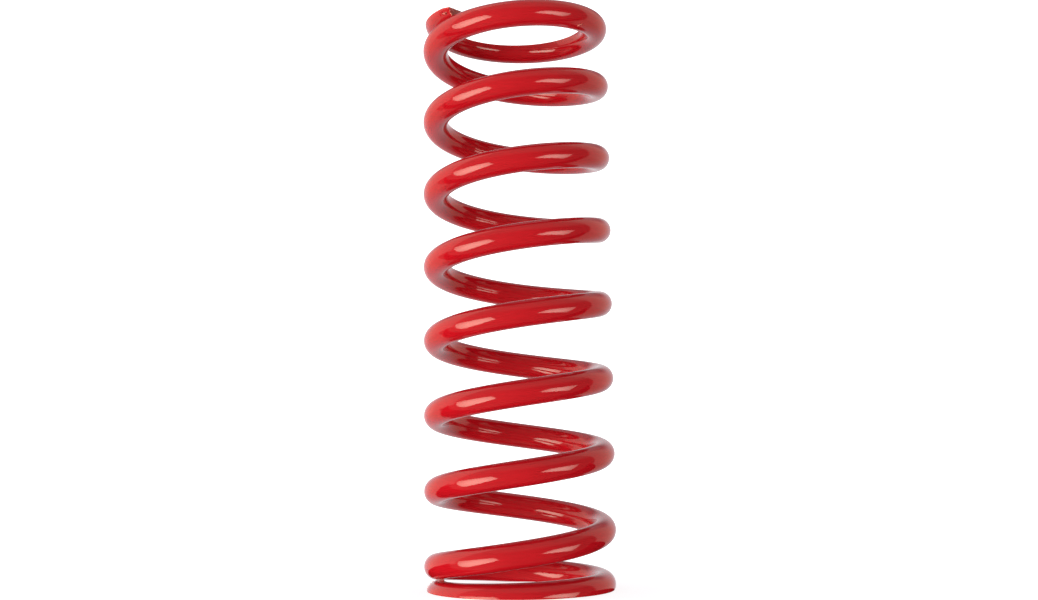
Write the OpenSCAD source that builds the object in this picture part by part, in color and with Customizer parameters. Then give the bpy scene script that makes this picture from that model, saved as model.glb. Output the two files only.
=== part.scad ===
// Barrel-shaped compression spring for a coil-over damper.
// One round wire, wound right-hand, with both ends closed and ground flat.
// The wire is divided along its length, so that it can be compressed the way a real spring is:
// each length twists a little against the next one, about the line of the wire where they meet.
// +Z is the coil axis. The origin is on that axis, on the lower ground face.

/* [Wire] */
// Diameter of the wire
wire_d = 11.5; // [9:0.1:11.5]

/* [Coils] */
// Clear inside diameter of the end coils, which fits the spring perch
end_inner_d = 61; // [60:0.5:62]
// Clear inside diameter of the middle coils
mid_inner_d = 63; // [62:0.5:65]
// Turns over which an end coil widens to the middle diameter
widening_turns = 1; // [0.6:0.1:1.5]
// Turns of wire from tip to tip
total_turns = 9.12; // [9:0.01:9.3]

/* [Length] */
// Free length between the two ground faces
free_length = 260; // [250:1:280]
// Thickness of wire that grinding leaves at each tip
tip_thickness = 4.6; // [4:0.1:5.5]

/* [Closed ends] */
// Rise per turn at a tip
tip_rise = 8.4; // [8:0.1:10]
// Rise per turn in the flattest part of an end coil
flat_rise = 6; // [5.8:0.1:8]
// Turns from a tip to the flattest part
flat_turn = 0.5; // [0.4:0.05:0.55]
// Turns from a tip to where the full pitch starts
closed_turns = 1.2; // [1.15:0.05:1.25]
// How far the upper tip is drawn in towards the axis
tip_inset = 1.2; // [0:0.1:2]

/* [Mesh] */
// Sides of the wire's round section
sides = 24; // [16:4:24]
// Sections along each turn of wire
sections_per_turn = 48; // [32:4:48]

/* [Hidden] */
// Lengths of wire in one turn, and whole turns that take a full share of the twist
lengths_per_turn = 4;
full_twist_turns = 6;
// Gap left between the faces of neighbouring lengths
face_gap = 0.05;
// Turns over which the upper tip is drawn in
inset_turns = 0.12;
// Small step, in turns, that finds the wire's direction
tiny = 0.0005;

wire_r = wire_d / 2;
end_r = end_inner_d / 2 + wire_r;
mid_r = mid_inner_d / 2 + wire_r;
tip_z = tip_thickness - wire_r;

// The joints lie a quarter turn apart, with a longer length of wire left at each end
joint_count = lengths_per_turn * full_twist_turns + lengths_per_turn - 1;
length_count = joint_count - 1;
first_joint = (total_turns - length_count / lengths_per_turn) / 2;

// The full pitch follows from the free length and the two closed ends
end_rise = flat_turn * (tip_rise + flat_rise) / 2;
ramp_turns = closed_turns - flat_turn;
full_pitch = (free_length - 2 * tip_z - 2 * end_rise - ramp_turns * flat_rise)
    / (total_turns - 2 * closed_turns + ramp_turns);

// Quarters of a coil as seen from above, in the order in which the wire climbs through them
QUARTERS = ["front_right", "back_right", "back_left", "front_left"];
LENGTHS = [for (i = [0 : length_count - 1])
    str("coil_", floor(i / lengths_per_turn) + 1, "_", QUARTERS[i % lengths_per_turn])];

function smooth(x) = let (u = min(max(x, 0), 1)) u * u * (3 - 2 * u);

// Height of the wire's centre over a tip's own centre, u turns along the wire from that tip
function climb(u) =
    u < flat_turn ? tip_rise * u + (flat_rise - tip_rise) * u * u / (2 * flat_turn)
    : u < closed_turns ? end_rise + flat_rise * (u - flat_turn)
        + (full_pitch - flat_rise) * pow(u - flat_turn, 2) / (2 * ramp_turns)
    : end_rise + ramp_turns * (flat_rise + full_pitch) / 2 + full_pitch * (u - closed_turns);

// Height of the wire's centre, t turns from the lower tip
function height(t) = t < total_turns / 2
    ? tip_z + climb(t)
    : free_length - tip_z - climb(total_turns - t);

// Distance from the coil axis to the wire's centre
function radius(t) = end_r
    + (mid_r - end_r) * smooth(t / widening_turns) * smooth((total_turns - t) / widening_turns)
    - tip_inset * smooth(1 - (total_turns - t) / inset_turns);

// The wire starts on the -X side and climbs anticlockwise as seen from above
function azimuth(t) = 180 + 360 * t;
function centre(t) = [radius(t) * cos(azimuth(t)), radius(t) * sin(azimuth(t)), height(t)];
function unit(v) = v / norm(v);
function direction(t) = unit(centre(t + tiny) - centre(t - tiny));

// One round section: points on a circle square to the wire
function section(t) =
    let (
        c = centre(t),
        d = direction(t),
        side = unit(cross([-sin(azimuth(t)), cos(azimuth(t)), 0], [0, 0, 1])),
        out = unit(side - (side * d) * d),
        up = cross(out, d)
    )
    [for (k = [0 : sides - 1])
        let (a = 360 * (k + 0.5) / sides) c + wire_r * (cos(a) * out - sin(a) * up)];

// A length of wire from turn t0 to turn t1, as one closed solid
module wire(t0, t1) {
    steps = ceil((t1 - t0) * sections_per_turn);
    points = [for (i = [0 : steps]) each section(t0 + (t1 - t0) * i / steps)];
    walls = [for (i = [0 : steps - 1], k = [0 : sides - 1])
        let (a = i * sides + k, b = i * sides + (k + 1) % sides)
        each [[a, b, b + sides], [a, b + sides, a + sides]]];
    first_face = [for (k = [sides - 1 : -1 : 0]) k];
    last_face = [for (k = [0 : sides - 1]) steps * sides + k];
    polyhedron(points, concat([first_face, last_face], walls), convexity = 6);
}

// Half of the gap between two faces, in turns of wire
function half_gap(t) = face_gap / 2 / (2 * PI * norm([radius(t), full_pitch / (2 * PI)]));

// Everything beyond a ground face, which grinding takes away
module ground_off(z, up) {
    block = 2 * (mid_r + wire_d);
    translate([-block / 2, -block / 2, up ? z : z - wire_d]) cube([block, block, wire_d]);
}

module lower_end_coil() {
    color("crimson") difference() {
        wire(0, first_joint - half_gap(first_joint));
        ground_off(0, false);
    }
}

module upper_end_coil() {
    last_joint = total_turns - first_joint;
    color("crimson") difference() {
        wire(last_joint + half_gap(last_joint), total_turns);
        ground_off(free_length, true);
    }
}

// One of the quarter turns between the end coils, counted from the bottom
module coil_length(i) {
    t0 = first_joint + i / lengths_per_turn;
    t1 = t0 + 1 / lengths_per_turn;
    color("firebrick") wire(t0 + half_gap(t0), t1 - half_gap(t1));
}

lower_end_coil();
for (i = [0 : length_count - 1])
    coil_length(i);
upper_end_coil();
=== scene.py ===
import math
import random

import bpy
import numpy as np
from mathutils import Matrix, Vector, noise

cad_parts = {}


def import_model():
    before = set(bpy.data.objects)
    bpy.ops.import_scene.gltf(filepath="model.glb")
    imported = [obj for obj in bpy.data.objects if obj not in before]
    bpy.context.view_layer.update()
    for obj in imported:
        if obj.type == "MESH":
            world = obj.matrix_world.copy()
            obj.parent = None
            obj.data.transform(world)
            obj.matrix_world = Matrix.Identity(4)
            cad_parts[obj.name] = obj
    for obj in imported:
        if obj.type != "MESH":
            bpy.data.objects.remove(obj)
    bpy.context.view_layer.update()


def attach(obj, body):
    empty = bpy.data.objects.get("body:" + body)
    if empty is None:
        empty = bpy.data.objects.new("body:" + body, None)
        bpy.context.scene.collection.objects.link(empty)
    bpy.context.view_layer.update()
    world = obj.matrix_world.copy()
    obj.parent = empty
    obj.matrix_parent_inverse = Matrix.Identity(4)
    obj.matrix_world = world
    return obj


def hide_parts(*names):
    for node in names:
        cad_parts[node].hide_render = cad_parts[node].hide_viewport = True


# A red powder-coated coil-over spring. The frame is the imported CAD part, with +Z along the
# coil axis. Every length of wire is swept again here along the CAD's centreline, finer than
# the CAD solid, and rides on its own body. Shapes are worked out in millimetres and in turns
# of the coil, and become metres when a mesh is made.

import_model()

MM = 0.001
SCENE = bpy.context.scene

# ---------------------------------------------------------------- the wire, as in the CAD part
WIRE_R = 5.75
END_R = 61 / 2 + WIRE_R        # coil radius at the ends, to the middle of the wire
MID_R = 63 / 2 + WIRE_R
WIDENING_TURNS = 1.0           # turns in which the coil widens from one to the other
TOTAL_TURNS = 9.12
FREE_LENGTH = 260.0
TIP_THICKNESS = 4.6            # what the grinding leaves of the wire at each tip
TIP_Z = TIP_THICKNESS - WIRE_R
TIP_RISE = 8.4                 # pitch at the tip, and at the end of the flat part
FLAT_RISE = 6.0
FLAT_TURN = 0.5
CLOSED_TURNS = 1.2
TIP_INSET = 1.2                # how far the upper tip is pulled in, and in how many turns
INSET_TURNS = 0.12
LENGTHS_PER_TURN = 4
JOINTS = 27
FIRST_JOINT = (TOTAL_TURNS - (JOINTS - 1) / LENGTHS_PER_TURN) / 2
END_RISE = FLAT_TURN * (TIP_RISE + FLAT_RISE) / 2
RAMP_TURNS = CLOSED_TURNS - FLAT_TURN
FULL_PITCH = ((FREE_LENGTH - 2 * TIP_Z - 2 * END_RISE - RAMP_TURNS * FLAT_RISE)
              / (TOTAL_TURNS - 2 * CLOSED_TURNS + RAMP_TURNS))
QUARTERS = ("front_right", "back_right", "back_left", "front_left")

# ---------------------------------------------------------------- the lengths of wire
SEAM = 0.005                   # half the gap left between two lengths, so that they never touch
SEAM_TURNS = SEAM / (2 * math.pi * MID_R)
CONE = 0.4                     # how deep the end of a length is sunk
RINGS, SIDES = 25, 56          # of a plain length

CHORD, FILLET, ARC = 12, 4, 60  # edges across a ground flat, round a corner, and round the rest
AROUND = CHORD + ARC + 2 * FILLET
FILLET_R = 0.3
FLAT_LOW, FLAT_WIDE = 0.06, 0.05  # least angles given to the flat and to a corner
TIP_TURNS, TIP_RINGS = 0.035, 22  # the finer part of an end coil, beside its tip
END_RINGS = 152                # in the rest of it

SKEW = math.tan(math.radians(8))  # the wire is sheared out of square, longer on the outside
SKEW_REACH = 7.0               # length of wire that the shear has pushed over
RIM_ROUGH, RIM_BACK = 0.22, 0.1  # unevenness of the cut's rim, and how far it is drawn back
DROOP, DROOP_REACH = 0.55, 5.5  # the last of the wire is bent down
WORN_REACH = 0.8               # worn coating beside the cut
DENTS = (((-33.4, -24.6, 256.4), 0.95, 0.75),  # centre, reach and depth
         ((-34.6, -22.9, 256.3), 0.75, 0.35))
DENT_LIMIT = 4.0
FACE_LOOPS = (0.965, 0.9, 0.8, 0.68, 0.55, 0.42, 0.3, 0.18, 0.08)  # rim is 1, middle is 0
FACE_TORN = 0.34               # depth of the torn metal
FACE_STEP = 0.35               # step between the smooth part of the cut and the torn part
FACE_EDGE = 0.08               # rounding at the rim

BEAD_ROWS, BEAD_SIDES = 5, 8
BEAD_WEAR = 0.6
RIM_BEADS = {True: (11, 0.55), False: (12, 0.25)}  # upper or lower: seed and chance
RIM_BEAD_BACK = (0.06, 0.25)   # least distance from the rim, and how much more
RIM_BEAD_R = (0.13, 0.17)      # least radius, and how much more
RIM_BEAD_RISE, RIM_BEAD_SQUASH = 0.02, 0.75
# a lip of coating pushed up beside the dents: place in turns, outward direction, and beads,
# each as its shift up, shift along the run, radius, length and paleness, the strength of its
# painted highlight
LIP_TURN = TOTAL_TURNS - 0.016
LIP_OUT = (-0.62, -0.62, -0.48)
LIP_RUN = (0.93, -0.36)        # shares of the wire's direction and of up
LIP_RISE, LIP_DOWN, LIP_SQUASH = 0.1, 1.0, 0.7
LIP_PATTERN = 9.1              # the turn whose pattern it takes
LIP_BEADS = ((0.0, 0.0, 0.42, 3.2, 0.35), (0.6, 1.0, 0.30, 2.0, 0.45))
# a chip in the coating under the top turn, as fine raised streaks, in the same way
CHIP_TURN = 8.376
CHIP_PLACE = (28.9, -28.1, 250.2)
CHIP_OUT = (0.44, -0.36, -0.82)
CHIP_RUN = (0.75, 0.1, 0.66)
CHIP_SQUASH = 0.9
CHIP_BEADS = ((0.0, 0.0, 0.18, 8.0, 0.55), (0.44, -0.3, 0.14, 7.0, 0.3),
              (-0.3, 0.9, 0.12, 4.5, 0.5))
# the coating that has run into the wedge between the lower tip and the next turn
WEB_FROM, WEB_TO, WEB_RINGS, WEB_SIDES = 0.004, 0.072, 34, 12
WEB_WIDTH, WEB_UNEVEN = 1.1, 0.2
# cut value that paints shade on the web, as on the rim of the cut
WEB_PAINTED_SHADE = 0.4


def smooth(x):
    u = min(max(x, 0.0), 1.0)
    return u * u * (3 - 2 * u)


def unit(v):
    return v / np.linalg.norm(v)


def climb(u):
    """How far the wire has climbed u turns from its tip."""
    if u < FLAT_TURN:
        return TIP_RISE * u + (FLAT_RISE - TIP_RISE) * u * u / (2 * FLAT_TURN)
    if u < CLOSED_TURNS:
        return (END_RISE + FLAT_RISE * (u - FLAT_TURN)
                + (FULL_PITCH - FLAT_RISE) * (u - FLAT_TURN) ** 2 / (2 * RAMP_TURNS))
    return (END_RISE + RAMP_TURNS * (FLAT_RISE + FULL_PITCH) / 2
            + FULL_PITCH * (u - CLOSED_TURNS))


def height(t):
    """Height of the centreline, t turns from the lower tip."""
    if t < TOTAL_TURNS / 2:
        return TIP_Z + climb(t)
    return FREE_LENGTH - TIP_Z - climb(TOTAL_TURNS - t)


def radius(t):
    belly = smooth(t / WIDENING_TURNS) * smooth((TOTAL_TURNS - t) / WIDENING_TURNS)
    inset = TIP_INSET * smooth(1 - (TOTAL_TURNS - t) / INSET_TURNS)
    return END_R + (MID_R - END_R) * belly - inset


def centre(t):
    a = math.pi + 2 * math.pi * t
    return np.array([radius(t) * math.cos(a), radius(t) * math.sin(a), height(t)])


def frame_at(t):
    """Centre, and direction, outward and upward unit vectors, of the wire t turns from the
    lower tip."""
    e = 0.0005
    d = unit(centre(t + e) - centre(t - e))
    a = math.pi + 2 * math.pi * t
    out = np.array([math.cos(a), math.sin(a), 0.0])
    out -= out.dot(d) * d
    out = unit(out)
    up = np.cross(d, out)
    if up[2] < 0:
        up = -up
    return centre(t), d, out, up


def along(t):
    """Distance along the wire, near enough for a texture."""
    return t * 2 * math.pi * MID_R


def from_tip(u):
    """Distance from a tip, u turns away."""
    return u * 2 * math.pi * END_R


# ---------------------------------------------------------------- meshes
class Skin:
    """A mesh in the making. Each point has its place on the straightened wire, how worn it is
    (edge), and how far it is cut metal (cut; near 0.4 it paints shade on the rim of the cut and
    on the web, and below zero it paints a pale highlight on beads of coating). Each face
    has a normal for every corner."""

    def __init__(self):
        self.points, self.wire, self.edge, self.cut = [], [], [], []
        self.faces, self.normals = [], []

    def point(self, place, wire, edge=0.0, cut=0.0):
        self.points.append(place)
        self.wire.append(wire)
        self.edge.append(edge)
        self.cut.append(cut)
        return len(self.points) - 1

    def face(self, corners, normals):
        self.faces.append(tuple(corners))
        self.normals += list(normals)

    def lean(self, corners):
        """The unscaled normal of a face's first three corners."""
        a, b, c = (self.points[i] for i in corners[:3])
        return np.cross(b - a, c - a)


def make_object(name, skin, material, node):
    """A closed mesh in metres that rides on the node's body and stands for the node."""
    me = bpy.data.meshes.new(name)
    me.from_pydata([tuple(v * MM) for v in skin.points], [], skin.faces)
    me.polygons.foreach_set("use_smooth", [True] * len(me.polygons))
    for label, values in (("wire", skin.wire), ("edge", skin.edge), ("cut", skin.cut)):
        kind, field = ("FLOAT_VECTOR", "vector") if label == "wire" else ("FLOAT", "value")
        layer = me.attributes.new(label, kind, "POINT")
        layer.data.foreach_set(field, np.asarray(values, np.float32).ravel())
    me.update()
    me.normals_split_custom_set([tuple(n) for n in skin.normals])
    me.materials.append(material)
    ob = bpy.data.objects.new(name, me)
    SCENE.collection.objects.link(ob)
    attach(ob, node)
    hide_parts(node)
    return ob


def plain_length(name, node, t0, t1, material):
    """A length of round wire between two joints. Its ends are shallow cones, sunk so that
    neighbours never meet face to face."""
    skin = Skin()
    ts = np.linspace(t0 + SEAM_TURNS, t1 - SEAM_TURNS, RINGS)
    vn = []
    for t in ts:
        c, _, out, up = frame_at(t)
        for k in range(SIDES):
            a = 2 * math.pi * (k + 0.5) / SIDES
            n = math.cos(a) * out + math.sin(a) * up
            skin.point(c + WIRE_R * n, (along(t), WIRE_R * math.cos(a), WIRE_R * math.sin(a)))
            vn.append(n)
    for r in range(RINGS - 1):
        for k in range(SIDES):
            a, b = r * SIDES + k, r * SIDES + (k + 1) % SIDES
            face = (a + SIDES, b + SIDES, b, a)
            skin.face(face, [vn[i] for i in face])
    for r, inward in ((0, 1), (RINGS - 1, -1)):
        c, d, _, _ = frame_at(ts[r])
        hub = skin.point(c + inward * CONE * d, (along(ts[r]), 0, 0))
        for k in range(SIDES):
            a, b = r * SIDES + k, r * SIDES + (k + 1) % SIDES
            skin.face((hub, a, b) if inward > 0 else (hub, b, a), [-inward * d] * 3)
    return make_object(name, skin, material, node)


def ray_circle(o, d, c, r):
    """Distance from o along d to the far side of a circle."""
    w = (c[0] - o[0], c[1] - o[1])
    m = w[0] * d[0] + w[1] * d[1]
    return m + math.sqrt(max(m * m - (w[0] ** 2 + w[1] ** 2 - r * r), 0.0))


def ground_section(k):
    """The outline of the wire where a plane k above its centre is ground off.
    A list of (x, y, nx, ny, edge), with y towards the plane."""
    y0 = min(0.0, (k - WIRE_R) / 2)
    ground = k < WIRE_R
    fx = fy = a1 = a2 = 0.0    # centre of the corner's fillet, and the angles where it starts
                               # and ends
    if ground:
        fy = k - FILLET_R
        fx = math.sqrt(max((WIRE_R - FILLET_R) ** 2 - fy ** 2, 0.0))
        s = WIRE_R / (WIRE_R - FILLET_R)
        a1 = math.atan2(fx, k - y0)
        a2 = math.atan2(s * fx, s * fy - y0)
    b1 = max(a1, FLAT_LOW)
    b2 = max(a2, b1 + FLAT_WIDE)
    angles = list(np.linspace(-b1, b1, CHORD + 1)) + list(np.linspace(b1, b2, FILLET + 1)[1:])
    angles += list(np.linspace(b2, 2 * math.pi - b2, ARC + 1)[1:])
    angles += list(np.linspace(2 * math.pi - b2, 2 * math.pi - b1, FILLET + 1)[1:-1])
    outline = []
    for a in angles:
        d = (math.sin(a), math.cos(a))
        w = math.pi - abs(math.pi - (a % (2 * math.pi)))
        if w <= a1 + 1e-9 and ground:
            rho = (k - y0) / d[1]
            x, y, n = rho * d[0], k, (0.0, 1.0)
        elif w < a2 and ground:
            c = (math.copysign(fx, d[0]), fy)
            rho = ray_circle((0, y0), d, c, FILLET_R)
            x, y = rho * d[0], y0 + rho * d[1]
            n = ((x - c[0]) / FILLET_R, (y - c[1]) / FILLET_R)
        else:
            rho = ray_circle((0, y0), d, (0, 0), WIRE_R)
            x, y = rho * d[0], y0 + rho * d[1]
            n = (x / WIRE_R, y / WIRE_R)
        at_corner = ground and a1 - 0.02 <= w <= a2 + 0.02 and a2 - a1 > 0.004
        outline.append((x, y, n[0], n[1], 1.0 if at_corner else 0.0))
    return outline


def dented(p, n):
    """A point of the surface and its normal, pressed in near each dent."""
    q, m = p, n
    for place, reach, depth in DENTS:
        away = p - np.array(place)
        away = away - away.dot(n) * n
        limit = smooth(1 - np.linalg.norm(p - np.array(place)) / DENT_LIMIT)
        h = depth * math.exp(-away.dot(away) / reach ** 2) * limit
        q = q - h * n
        m = m - 2 * h * away / reach ** 2
    return q, unit(m)


def bead(skin, place, r, squash, normal, wire_at, pale=1.0, length=1.0, run=None):
    """A small closed bead of coating, flattened along a normal, and drawn out where it has run.
    Its paleness sets a painted highlight.
    """
    a = unit(np.cross(normal, [0.3, 0.5, 0.8]))
    b = np.cross(normal, a)
    dirs = [normal]
    for i in range(1, BEAD_ROWS):
        phi = math.pi * i / BEAD_ROWS
        for k in range(BEAD_SIDES):
            th = 2 * math.pi * k / BEAD_SIDES
            dirs.append(math.cos(phi) * normal
                        + math.sin(phi) * (math.cos(th) * a + math.sin(th) * b))
    dirs.append(-normal)
    base = len(skin.points)
    for v in dirs:
        q = v - (1 - squash) * v.dot(normal) * normal
        if run is not None:
            q = q + (length - 1) * v.dot(run) * run
        q = place + r * q
        q[2] = min(max(q[2], 0.0), FREE_LENGTH)
        skin.point(q, wire_at, BEAD_WEAR, -pale)
    last, low = len(dirs) - 1, 1 + (BEAD_ROWS - 2) * BEAD_SIDES
    new = [(0, 1 + (k + 1) % BEAD_SIDES, 1 + k) for k in range(BEAD_SIDES)]
    for i in range(BEAD_ROWS - 2):
        for k in range(BEAD_SIDES):
            p0, p1 = 1 + i * BEAD_SIDES + k, 1 + i * BEAD_SIDES + (k + 1) % BEAD_SIDES
            new.append((p0, p1, p1 + BEAD_SIDES, p0 + BEAD_SIDES))
    new += [(last, low + k, low + (k + 1) % BEAD_SIDES) for k in range(BEAD_SIDES)]
    for f in new:
        corners = [base + i for i in f]
        middle = np.mean([skin.points[i] for i in corners], axis=0) - place
        if skin.lean(corners).dot(middle) < 0:
            f, corners = f[::-1], corners[::-1]
        skin.face(corners, [dirs[i] for i in f])


def closest_on_wire(p, n, t):
    """The wire's surface point beside p, near turn t, that faces most nearly along n."""
    c, d, _, _ = frame_at(t)
    c = c + (p - c).dot(d) * d
    m = n - n.dot(d) * d
    return c + WIRE_R * m / np.linalg.norm(m)


def coating_web(skin):
    """The coating that has run into the wedge where the lower tip rests under the next turn,
    darkened with painted shade.
    """
    base = len(skin.points)
    us = np.linspace(WEB_FROM, WEB_TO, WEB_RINGS)
    vn = []
    for j, u in enumerate(us):
        low, high = centre(u), centre(1 + u)
        _, d, out, _ = frame_at(u)
        line = high - low
        line -= line.dot(d) * d
        gap = np.linalg.norm(line) - 2 * WIRE_R
        line = unit(line)
        side = np.cross(d, line)
        if side.dot(out) < 0:
            side = -side
        middle = low + line * (WIRE_R + gap / 2)
        ease = smooth((1 - j / (WEB_RINGS - 1)) / 0.25) * smooth((j + 0.5) / 4)
        uneven = WEB_UNEVEN * noise.noise(Vector((u * 260, 0.3, 9.1)))
        w = (WEB_WIDTH + uneven) * max(ease, 0.05)
        tall = gap / 2 + w * w / (2 * WIRE_R) + 0.03
        for k in range(WEB_SIDES):
            a = 2 * math.pi * k / WEB_SIDES
            x, y = math.cos(a), math.sin(a)
            waist = 1 - 0.35 * (1 - abs(y)) ** 2
            p = (middle + side * (w * waist * np.sign(x) * abs(x) ** 0.6)
                 + line * (tall * np.sign(y) * abs(y) ** 0.6))
            skin.point(p, (along(u), *(p[:2] * 0.4)), cut=WEB_PAINTED_SHADE)
            vn.append(unit(x * side + 0.3 * y * line))
    turned = None
    for j in range(WEB_RINGS - 1):
        for k in range(WEB_SIDES):
            a, b = j * WEB_SIDES + k, j * WEB_SIDES + (k + 1) % WEB_SIDES
            f = (a, b, b + WEB_SIDES, a + WEB_SIDES)
            if turned is None:
                turned = skin.lean([base + i for i in f]).dot(vn[a]) < 0
            f = f[::-1] if turned else f
            skin.face([base + i for i in f], [vn[i] for i in f])
    for j, sign in ((0, -1), (WEB_RINGS - 1, 1)):
        _, d, _, _ = frame_at(us[j])
        f = [base + j * WEB_SIDES + k for k in range(WEB_SIDES)]
        co = [skin.points[f[i]] for i in (0, 3, 6)]
        if np.cross(co[1] - co[0], co[2] - co[0]).dot(sign * d) < 0:
            f = f[::-1]
        skin.face(f, [sign * d] * WEB_SIDES)


def end_frame(u, upper):
    """Turn, centre, direction towards the tip, outward and upward vectors, u turns from a tip."""
    t = TOTAL_TURNS - u if upper else u
    c, d, out, up = frame_at(t)
    return t, c, d if upper else -d, out, up


def end_rings(skin, us, upper):
    """The sides of an end coil. Gives the outward direction at each point."""
    sign = 1 if upper else -1                    # which way the ground face looks, along Z
    plane = FREE_LENGTH if upper else 0.0
    vn = []
    for u in us:
        t, c, toward_tip, out, up = end_frame(u, upper)
        fade = smooth(1 - from_tip(u) / SKEW_REACH)
        for x, y, nx, ny, worn in ground_section(sign * (plane - c[2]) / up[2]):
            p = c + x * out + sign * y * up
            n = nx * out + sign * ny * up
            if abs(ny - 1.0) < 1e-9:
                n = np.array([0.0, 0.0, float(sign)])
            shift = -(WIRE_R - x) * SKEW * fade
            ragged = noise.noise(Vector((x * 0.9, y * 0.9, 3.7 if upper else 8.1)))
            shift += fade ** 3 * (RIM_ROUGH * ragged - RIM_BACK)
            p = p + shift * toward_tip
            if upper:
                p[2] -= DROOP * smooth(1 - from_tip(u) / DROOP_REACH)
                p, n = dented(p, n)
            p[2] = min(p[2], plane) if upper else max(p[2], plane)
            worn = max(worn, smooth(1 - from_tip(u) / WORN_REACH))
            skin.point(p, (along(t), x, sign * y), worn)
            vn.append(n)
    for r in range(len(us) - 1):
        for i in range(AROUND):
            a, b = r * AROUND + i, r * AROUND + (i + 1) % AROUND
            face = (a, b, b + AROUND, a + AROUND)
            if not upper:
                face = face[::-1]
            skin.face(face, [vn[j] for j in face])
    return vn


def joint_end(skin, ring, u, upper):
    """The end of an end coil at its joint, sunk like the other lengths'."""
    t, c, inward, _, _ = end_frame(u, upper)
    hub = skin.point(c + CONE * inward, (along(t), 0, 0))
    for i in range(AROUND):
        a, b = ring * AROUND + i, ring * AROUND + (i + 1) % AROUND
        skin.face((hub, b, a), [-inward] * 3)


def sheared_face(skin, rim, upper):
    """The cut end: loops drawn in from the rim, smooth near one side and torn over the rest."""
    sign = 1 if upper else -1
    t, c, toward_tip, out, up = end_frame(0.0, upper)
    mid = np.mean([skin.points[i] for i in rim], axis=0)
    loops = [rim]
    for f in FACE_LOOPS:
        loop = []
        for i in rim:
            p = mid + f * (skin.points[i] - mid)
            q = p - c
            x, y = q.dot(out), sign * q.dot(up)
            torn = noise.fractal(Vector((x * 0.45, y * 0.8, 1.3 if upper else 5.9)), 0.9, 2.1, 4)
            wavy = 0.8 * noise.noise(Vector((y * 0.7, 0.4, 2.0)))
            step = FACE_STEP * smooth((x + 1.5 + wavy) / 0.7)
            depth = ((FACE_TORN * torn + step - 0.1) * smooth((1 - f) / 0.2)
                     - FACE_EDGE * smooth((1 - f) / 0.05))
            # 0.4 on the rim loop paints shade on the rim of the cut
            worn, cut = (1.0, 0.4) if f > 0.95 else (0.0, 1.0)
            loop.append(skin.point(p + depth * toward_tip, (along(t), x, sign * y), worn, cut))
        loops.append(loop)
    hub = skin.point(np.mean([skin.points[i] for i in loops[-1]], axis=0),
                     (along(t), 0, 0), cut=1.0)
    patch = []
    for lo, hi in zip(loops, loops[1:]):
        for i in range(AROUND):
            j = (i + 1) % AROUND
            patch.append((lo[i], lo[j], hi[j], hi[i]))
    patch += [(loops[-1][i], loops[-1][(i + 1) % AROUND], hub) for i in range(AROUND)]
    if sum(skin.lean(f).dot(toward_tip) for f in patch) <= 0:
        patch = [f[::-1] for f in patch]
    smooth_n = np.zeros((len(skin.points), 3))
    for face in patch:
        smooth_n[list(face)] += skin.lean(face)
    for face in patch:
        skin.face(face, [smooth_n[j] / max(np.linalg.norm(smooth_n[j]), 1e-12) for j in face])


def rim_beads(skin, rim, vn, upper):
    """Beads of coating along the sheared rim, most of them on the upper tip."""
    _, _, toward_tip, _, _ = end_frame(0.0, upper)
    seed, chance = RIM_BEADS[upper]
    rng = random.Random(seed)
    for i in rim:
        if rng.random() < chance:
            back = RIM_BEAD_BACK[0] + RIM_BEAD_BACK[1] * rng.random()
            place = skin.points[i] - back * toward_tip + RIM_BEAD_RISE * vn[i]
            r = RIM_BEAD_R[0] + RIM_BEAD_R[1] * rng.random() ** 2
            bead(skin, place, r, RIM_BEAD_SQUASH, vn[i], skin.wire[i])


def run_beads(skin, beads, middle, across, run, normal, squash, turn):
    """A few beads of coating that have run, side by side."""
    for shift, slide, r, long, pale in beads:
        place = middle + shift * across + slide * run
        bead(skin, place, r, squash, normal, (along(turn), shift, slide), pale, long, run)


def lip(skin):
    """A lip of coating pushed up beside the dents of the upper tip."""
    c, d, _, _ = frame_at(LIP_TURN)
    up = np.array([0, 0, 1.0])
    n = unit(np.array(LIP_OUT))
    middle = closest_on_wire(c, n, LIP_TURN) + LIP_RISE * n - LIP_DOWN * up
    run = LIP_RUN[0] * d + np.array([0, 0, LIP_RUN[1]])
    run = unit(run - run.dot(n) * n)
    run_beads(skin, LIP_BEADS, middle, up, run, n, LIP_SQUASH, LIP_PATTERN)


def chip(skin):
    """A chip in the coating under the top turn."""
    n = unit(np.array(CHIP_OUT))
    run = np.array(CHIP_RUN)
    run = unit(run - run.dot(n) * n)
    middle = closest_on_wire(np.array(CHIP_PLACE), n, CHIP_TURN)
    run_beads(skin, CHIP_BEADS, middle, np.cross(n, run), run, n, CHIP_SQUASH, CHIP_TURN)


def end_coil(name, node, upper, material):
    """An end coil: ground flat on its outer side, and sheared off at its tip."""
    skin = Skin()
    us = list(np.linspace(0, TIP_TURNS, TIP_RINGS)[:-1])
    us += list(np.linspace(TIP_TURNS, FIRST_JOINT - SEAM_TURNS, END_RINGS))
    if upper:
        us = us[::-1]
    tip_ring, joint_ring = (len(us) - 1, 0) if upper else (0, len(us) - 1)
    rim = [tip_ring * AROUND + i for i in range(AROUND)]
    vn = end_rings(skin, us, upper)
    joint_end(skin, joint_ring, us[joint_ring], upper)
    sheared_face(skin, rim, upper)
    rim_beads(skin, rim, vn, upper)
    if upper:
        lip(skin)
        chip(skin)
    else:
        coating_web(skin)
    return make_object(name, skin, material, node)


# ---------------------------------------------------------------- nodes
def node_tree(name):
    mat = bpy.data.materials.new(name)
    mat.use_nodes = True
    nt = mat.node_tree
    return mat, nt, nt.nodes["Principled BSDF"]


def noise_tex(nt, vector, scale, detail=2.0, rough=0.5):
    n = nt.nodes.new("ShaderNodeTexNoise")
    n.inputs["Scale"].default_value = scale
    n.inputs["Detail"].default_value = detail
    n.inputs["Roughness"].default_value = rough
    nt.links.new(vector, n.inputs["Vector"])
    return n.outputs["Fac"]


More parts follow.
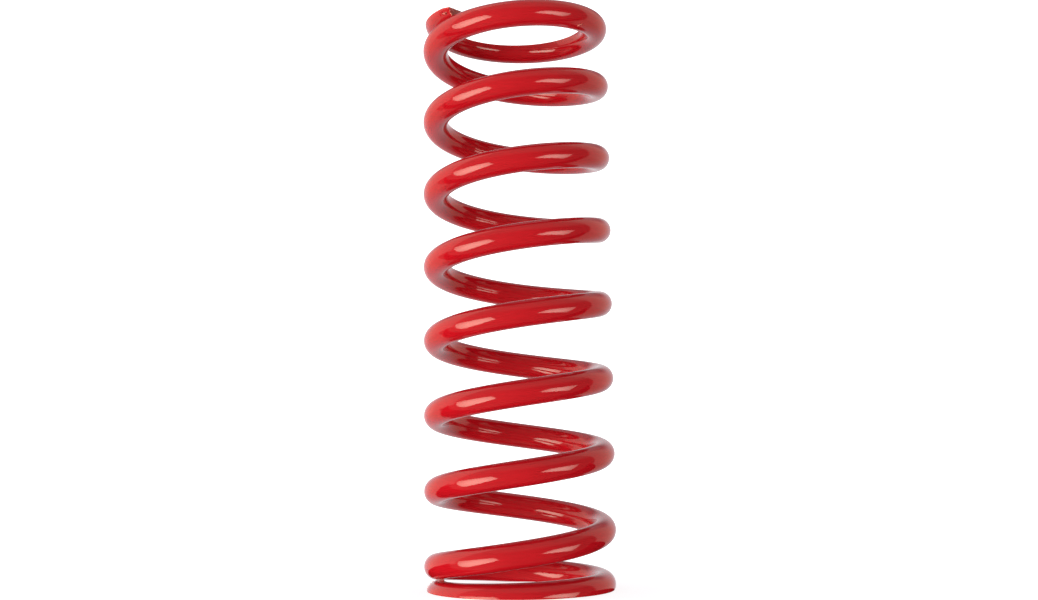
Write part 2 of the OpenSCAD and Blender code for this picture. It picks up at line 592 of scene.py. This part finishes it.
def mapped(nt, vector, scale, offset):
    m = nt.nodes.new("ShaderNodeMapping")
    m.inputs["Scale"].default_value = scale
    m.inputs["Location"].default_value = offset
    nt.links.new(vector, m.inputs["Vector"])
    return m.outputs["Vector"]


def span(nt, value, from_lo, from_hi, to_lo=0.0, to_hi=1.0, kind="LINEAR"):
    """A value carried from one range to another, and held at its ends."""
    m = nt.nodes.new("ShaderNodeMapRange")
    m.interpolation_type = kind
    for label, x in (("From Min", from_lo), ("From Max", from_hi),
                     ("To Min", to_lo), ("To Max", to_hi)):
        m.inputs[label].default_value = x
    nt.links.new(value, m.inputs["Value"])
    return m.outputs["Result"]


def soft(nt, value, from_lo, from_hi, to_lo=0.0, to_hi=1.0):
    return span(nt, value, from_lo, from_hi, to_lo, to_hi, "SMOOTHSTEP")


def calc(nt, op, a, b):
    m = nt.nodes.new("ShaderNodeMath")
    m.operation = op
    for i, x in enumerate((a, b)):
        if isinstance(x, (int, float)):
            m.inputs[i].default_value = x
        else:
            nt.links.new(x, m.inputs[i])
    return m.outputs[0]


def times(nt, *values):
    total = values[0]
    for v in values[1:]:
        total = calc(nt, "MULTIPLY", total, v)
    return total


def mixed(nt, factor, a, b, blend="MIX"):
    m = nt.nodes.new("ShaderNodeMix")
    m.data_type = "RGBA"
    m.blend_type = blend
    sockets = {s.name + s.type: s for s in m.inputs if s.enabled}
    for key, x in (("FactorVALUE", factor), ("ARGBA", a), ("BRGBA", b)):
        if isinstance(x, (int, float)):
            sockets[key].default_value = x
        elif isinstance(x, tuple):
            sockets[key].default_value = (*x, 1.0)
        else:
            nt.links.new(x, sockets[key])
    return [s for s in m.outputs if s.enabled and s.type == "RGBA"][0]


def bumped(nt, relief, distance, below=None):
    b = nt.nodes.new("ShaderNodeBump")
    b.inputs["Strength"].default_value = 1.0
    b.inputs["Distance"].default_value = distance
    nt.links.new(relief, b.inputs["Height"])
    if below is not None:
        nt.links.new(below, b.inputs["Normal"])
    return b.outputs["Normal"]


def attribute(nt, label, socket):
    a = nt.nodes.new("ShaderNodeAttribute")
    a.attribute_name = label
    return a.outputs[socket]


def length_of(nt, vector):
    v = nt.nodes.new("ShaderNodeVectorMath")
    v.operation = "LENGTH"
    nt.links.new(vector, v.inputs[0])
    return v.outputs["Value"]


# ---------------------------------------------------------------- the coating
RED = (0.465, 0.0062, 0.0145)
SPECK_RED = (0.20, 0.004, 0.006)
WORN_ORANGE = (0.78, 0.075, 0.028)    # thin coating on the ground edges
TORN_RED = (0.54, 0.17, 0.16)         # coating over torn metal
PAINTED_SHADE_RED = (0.20, 0.008, 0.006)        # painted shade on the rim of the cut and on the web
# painted highlight: the pale colour of beads of coating
BEAD_PAINTED_HIGHLIGHT = (0.95, 0.42, 0.34)
GLOSS = (0.045, 0.085)                # roughness of the coating, from smooth spots to dull ones
CUT_ROUGHNESS = 0.30
# heights of the bumps, in metres
DRAWN_BUMP = 0.0000019
PEEL_BUMP = 0.0000024
FINE_BUMP = 0.0000004
TORN_BUMP = 0.00022


def powder_coat():
    """Glossy red powder coat on drawn wire: orange peel, faint marks along the wire, specks,
    and a thinner, paler film on ground edges and cuts. Painted shade darkens the rim of the
    cut and the web, and a painted highlight pales the beads of coating."""
    mat, nt, bsdf = node_tree("powder_coat")
    wire = attribute(nt, "wire", "Vector")
    edge = attribute(nt, "edge", "Fac")
    cut = attribute(nt, "cut", "Fac")
    bare = calc(nt, "MAXIMUM", cut, 0.0)
    # patterns, from the finest to the broadest, all on the straightened wire in millimetres
    speck = noise_tex(nt, wire, 3.4, 0.0)
    fine = noise_tex(nt, wire, 2.6, 2.0, 0.5)
    ragged = noise_tex(nt, wire, 1.9, 2.0)
    drawn = noise_tex(nt, mapped(nt, wire, (0.035, 1.0, 1.0), (3.0, 0, 0)), 1.5, 3.0, 0.6)
    sheared = noise_tex(nt, wire, 0.8, 4.0, 0.65)
    peel = noise_tex(nt, wire, 0.55, 1.5, 0.45)
    cloud = noise_tex(nt, wire, 0.045, 3.0, 0.55)

    film = span(nt, cloud, 0.3, 0.7, 0.94, 1.06)
    streak = span(nt, drawn, 0.3, 0.7, 0.985, 1.015)
    colour = mixed(nt, 1.0, RED, times(nt, film, streak), "MULTIPLY")
    colour = mixed(nt, times(nt, span(nt, speck, 0.80, 0.84), 0.5), colour, SPECK_RED)
    worn = span(nt, times(nt, edge, ragged), 0.34, 0.62, 0.0, 0.5)
    colour = mixed(nt, worn, colour, WORN_ORANGE)
    torn = span(nt, times(nt, bare, sheared), 0.22, 0.62)
    colour = mixed(nt, torn, colour, TORN_RED)
    # painted shade: darkens the rim of the cut and the web, where cut is near 0.4
    rim = times(nt, span(nt, cut, 0.05, 0.3), span(nt, cut, 0.45, 0.75, 1.0, 0.0))
    colour = mixed(nt, times(nt, rim, 0.8), colour, PAINTED_SHADE_RED)
    # painted highlight: pales the beads of coating, where cut is below zero
    colour = mixed(nt, span(nt, cut, -0.8, -0.05, 0.75, 0.0), colour, BEAD_PAINTED_HIGHLIGHT)
    nt.links.new(colour, bsdf.inputs["Base Color"])

    rough = span(nt, fine, 0.25, 0.75, *GLOSS)
    rough = calc(nt, "ADD", rough, times(nt, bare, CUT_ROUGHNESS))
    nt.links.new(rough, bsdf.inputs["Roughness"])
    bsdf.inputs["IOR"].default_value = 1.5
    normal = bumped(nt, drawn, DRAWN_BUMP)
    normal = bumped(nt, peel, PEEL_BUMP, normal)
    normal = bumped(nt, fine, FINE_BUMP, normal)
    normal = bumped(nt, times(nt, bare, sheared), TORN_BUMP, normal)
    nt.links.new(normal, bsdf.inputs["Normal"])
    return mat


# ---------------------------------------------------------------- the stage
FLOOR_COLOUR = (0.32, 0.38, 0.46, 1)
FLOOR_GLOW = (0.05, 0.28, 0.84, 1.5)  # from and to these distances, glow at each, in metres
# radius and height of the floor and the wall round it, in metres
FLOOR_PROFILE = ((0.0, 0.0), (0.6, 0.0), (2.0, 0.0), (4.0, 0.0), (5.2, 0.16), (6.2, 0.7),
                 (6.9, 1.6), (7.2, 3.0), (7.2, 9.0), (0.0, 12.0))
FLOOR_SIDES = 96
# a black sheet: half its width, its place behind the axis, its lower and upper edges
SCREEN_HALF, SCREEN_Y, SCREEN_LOW, SCREEN_HIGH = 3, 0.043, -3, -0.009
SCREEN_BLACK = (0.004, 0.004, 0.004, 1)

SOFTBOX_DISTANCE = 2.6
SOFTBOX_CENTRE = (0, 0, 0.13)
# softboxes: corners as azimuth and elevation, light at the middle and at the edge, and colour
LEFT_BOX = (((-79, 4.5), (-78, -12), (-74, -36), (-68, -40), (-45, -33), (-31, -25),
             (-24, -18), (-28, -6), (-33, 5)), 8.1, 4.3, (1.0, 0.875, 0.71))
RIGHT_BOX = (((38, 3), (31, -4), (26, -13), (32, -19), (48, -22), (66, -27), (70, -27),
              (73, 3)), 6.2, 2.9, (1.0, 0.86, 0.73))

# the surroundings, by direction: from and to these values, the result at each
WALL_SLANT = 0.1585                   # the wall starts further back on the right
WALL_START = (-0.02, 0.05)
LEFT_END = (-0.15, -0.09, -0.48, 0.0)  # near the floor, the left wall starts later
LEFT_TO_RIGHT = (-0.95, 0.8, 1.30, 0.86)
LEFT_ONLY = (-0.45, -0.2, 1.0, 0.0)   # and the left wall dims towards the back
LEFT_DIM = (0.22, 0.55, 0.0, 0.12)
FLOOR_FADE = (-0.85, -0.6)
BEHIND = (0.66, 0.94)
HIGH_DIM = (0.32, 0.56, 0.0, 0.75)
BEHIND_DIM = (0.66, 0.98, 1.0, 0.85)
LOW_DIM = (-0.30, -0.05, 0.78, 1.0)
CEILING, CEILING_LIGHT = (0.30, 0.75), 0.58
ABOVE_HORIZON = (0.07, 0.13)
LEFT_FILL = (-0.97, -0.25, 0.60, 0.17)
HAZE = (-0.9, 0.4, 0.40, 0.20)
WARM, COOL = (1.0, 0.82, 0.69), (0.95, 0.90, 0.93)

FOCAL_PIXELS, FRAME_PIXELS = 1301.77, 1038
SENSOR_WIDTH = 36.0
CAMERA_PLACE = (0.54, -591.82, 61.64)
CAMERA_PITCH, CAMERA_ROLL = 0.1150, -0.0102


def ray(azimuth, elevation):
    """A direction: azimuth 0 is -Y, towards the front, and 90 is +X; elevation is up. Degrees."""
    a, e = math.radians(azimuth), math.radians(elevation)
    return Vector((math.sin(a) * math.cos(e), -math.cos(a) * math.cos(e), math.sin(e)))


def stage_object(name, mesh, hidden_from):
    ob = bpy.data.objects.new(name, mesh)
    SCENE.collection.objects.link(ob)
    for kind in hidden_from:
        setattr(ob, "visible_" + kind, False)
    return ob


def pale_floor():
    """Pale and matt. It glows a little, more with distance, so that the floor and the wall
    join without a line."""
    mat, nt, bsdf = node_tree("pale_floor")
    bsdf.inputs["Base Color"].default_value = FLOOR_COLOUR
    bsdf.inputs["Roughness"].default_value = 1.0
    bsdf.inputs["Specular IOR Level"].default_value = 0.0
    bsdf.inputs["Emission Color"].default_value = (1, 1, 1, 1)
    place = nt.nodes.new("ShaderNodeTexCoord").outputs["Object"]
    nt.links.new(soft(nt, length_of(nt, place), *FLOOR_GLOW), bsdf.inputs["Emission Strength"])
    return mat


def turned_mesh(name, profile, sides):
    """A profile of radius and height, turned about Z."""
    verts, faces, rings = [], [], []
    for r, z in profile:
        first = len(verts)
        if r == 0:
            verts.append((0, 0, z))
        else:
            angles = [2 * math.pi * k / sides for k in range(sides)]
            verts += [(r * math.cos(a), r * math.sin(a), z) for a in angles]
        rings.append(range(first, len(verts)))
    for a, b in zip(rings, rings[1:]):
        for k in range(sides):
            k2 = (k + 1) % sides
            if len(a) == 1:
                faces.append((a[0], b[k], b[k2]))
            elif len(b) == 1:
                faces.append((a[k], a[k2], b[0]))
            else:
                faces.append((a[k], a[k2], b[k2], b[k]))
    me = bpy.data.meshes.new(name)
    me.from_pydata(verts, [], faces)
    me.polygons.foreach_set("use_smooth", [True] * len(faces))
    me.update()
    return me


def backdrop():
    """A pale floor that turns up into a pale wall all round, seen by the camera only."""
    me = turned_mesh("floor", FLOOR_PROFILE, FLOOR_SIDES)
    me.materials.append(pale_floor())
    return stage_object("floor", me, ("glossy", "diffuse", "shadow", "transmission"))


def under_screen():
    """A black sheet below floor level behind the spring, so that low reflections towards the
    back are dark."""
    me = bpy.data.meshes.new("under_screen")
    me.from_pydata([(-SCREEN_HALF, SCREEN_Y, SCREEN_LOW), (SCREEN_HALF, SCREEN_Y, SCREEN_LOW),
                    (SCREEN_HALF, SCREEN_Y, SCREEN_HIGH), (-SCREEN_HALF, SCREEN_Y, SCREEN_HIGH)],
                   [], [(0, 1, 2, 3)])
    mat, _, bsdf = node_tree("under_screen")
    bsdf.inputs["Base Color"].default_value = SCREEN_BLACK
    bsdf.inputs["Roughness"].default_value = 1.0
    bsdf.inputs["Specular IOR Level"].default_value = 0.0
    me.materials.append(mat)
    return stage_object("under_screen", me, ("camera", "diffuse", "shadow", "transmission"))


def softbox(name, corners, hot, edge, colour):
    """A flat glowing panel whose corners are seen from the spring in these directions, brighter
    at its middle."""
    mid = sum((ray(*c) for c in corners), Vector()) / len(corners)
    mid.normalize()
    d = SOFTBOX_DISTANCE
    pts = [ray(*c) * (d / ray(*c).dot(mid)) - mid * d for c in corners]
    me = bpy.data.meshes.new(name)
    me.from_pydata([tuple(p) for p in pts], [], [tuple(range(len(pts)))])
    mat = bpy.data.materials.new(name)
    mat.use_nodes = True
    nt = mat.node_tree
    nt.nodes.clear()
    glow = nt.nodes.new("ShaderNodeEmission")
    glow.inputs["Color"].default_value = (*colour, 1)
    place = nt.nodes.new("ShaderNodeTexCoord").outputs["Object"]
    reach = max(p.length for p in pts)
    strength = soft(nt, length_of(nt, place), 0.12 * reach, 0.85 * reach, hot, edge)
    nt.links.new(strength, glow.inputs["Strength"])
    nt.links.new(glow.outputs[0], nt.nodes.new("ShaderNodeOutputMaterial").inputs["Surface"])
    me.materials.append(mat)
    ob = stage_object(name, me, ("camera", "shadow"))
    ob.location = Vector(SOFTBOX_CENTRE) + mid * d
    return ob


def world():
    """Soft studio surroundings by direction: a pale wall behind and to both sides, a dim ceiling,
    and only a faint haze in front and below."""
    w = bpy.data.worlds.new("studio")
    SCENE.world = w
    w.use_nodes = True
    nt = w.node_tree
    bg = nt.nodes["Background"]
    xyz = nt.nodes.new("ShaderNodeSeparateXYZ")
    nt.links.new(nt.nodes.new("ShaderNodeTexCoord").outputs["Generated"], xyz.inputs[0])
    x, y, z = xyz.outputs
    flat = calc(nt, "ADD", calc(nt, "ADD", times(nt, x, x), times(nt, y, y)), 0.0001)
    flat = calc(nt, "SQRT", flat, 0)
    side = calc(nt, "DIVIDE", x, flat)
    back = calc(nt, "DIVIDE", y, flat)
    leftward = calc(nt, "MAXIMUM", times(nt, side, -1.0), 0.0)

    rear = calc(nt, "SUBTRACT", back, times(nt, side, WALL_SLANT))
    rear = calc(nt, "ADD", rear, times(nt, leftward, soft(nt, z, *LEFT_END)))
    dim_left = calc(nt, "SUBTRACT", 1.0,
                    times(nt, soft(nt, side, *LEFT_ONLY), soft(nt, back, *LEFT_DIM)))
    behind = soft(nt, back, *BEHIND)
    dim_high = calc(nt, "SUBTRACT", 1.0, times(nt, behind, soft(nt, z, *HIGH_DIM)))
    wall = times(nt, soft(nt, rear, *WALL_START), span(nt, side, *LEFT_TO_RIGHT), dim_left,
                 soft(nt, z, *FLOOR_FADE), dim_high, soft(nt, back, *BEHIND_DIM),
                 soft(nt, z, *LOW_DIM))

    ceiling = times(nt, soft(nt, z, *CEILING), CEILING_LIGHT)
    fill = times(nt, soft(nt, z, *ABOVE_HORIZON), span(nt, side, *LEFT_FILL))
    haze = span(nt, side, *HAZE)
    total = calc(nt, "MAXIMUM", calc(nt, "MAXIMUM", wall, ceiling), calc(nt, "MAXIMUM", fill, haze))
    nt.links.new(total, bg.inputs["Strength"])
    nt.links.new(mixed(nt, behind, WARM, COOL), bg.inputs["Color"])


def camera():
    cam = bpy.data.cameras.new("camera")
    cam.sensor_width = SENSOR_WIDTH
    cam.lens = SENSOR_WIDTH * FOCAL_PIXELS / FRAME_PIXELS
    cam.clip_start = 0.01
    ob = bpy.data.objects.new("camera", cam)
    SCENE.collection.objects.link(ob)
    forward = Vector((0, math.cos(CAMERA_PITCH), math.sin(CAMERA_PITCH)))
    level = Vector((1, 0, 0))
    raised = level.cross(forward)
    right = math.cos(CAMERA_ROLL) * level + math.sin(CAMERA_ROLL) * raised
    up = -math.sin(CAMERA_ROLL) * level + math.cos(CAMERA_ROLL) * raised
    turned = Matrix((right, up, -forward)).transposed().to_4x4()
    ob.matrix_world = Matrix.Translation(Vector(CAMERA_PLACE) * MM) @ turned
    SCENE.camera = ob


# ---------------------------------------------------------------- build
COAT = powder_coat()
end_coil("coated_lower_end_coil", "lower_end_coil", False, COAT)
for i in range(JOINTS - 1):
    node = f"coil_{i // LENGTHS_PER_TURN + 1}_{QUARTERS[i % LENGTHS_PER_TURN]}"
    t0 = FIRST_JOINT + i / LENGTHS_PER_TURN
    plain_length("coated_" + node, node, t0, t0 + 1 / LENGTHS_PER_TURN, COAT)
end_coil("coated_upper_end_coil", "upper_end_coil", True, COAT)

backdrop()
under_screen()
world()
softbox("softbox_left", *LEFT_BOX)
softbox("softbox_right", *RIGHT_BOX)
camera()
SCENE.view_settings.view_transform = "Standard"
SCENE.view_settings.look = "None"
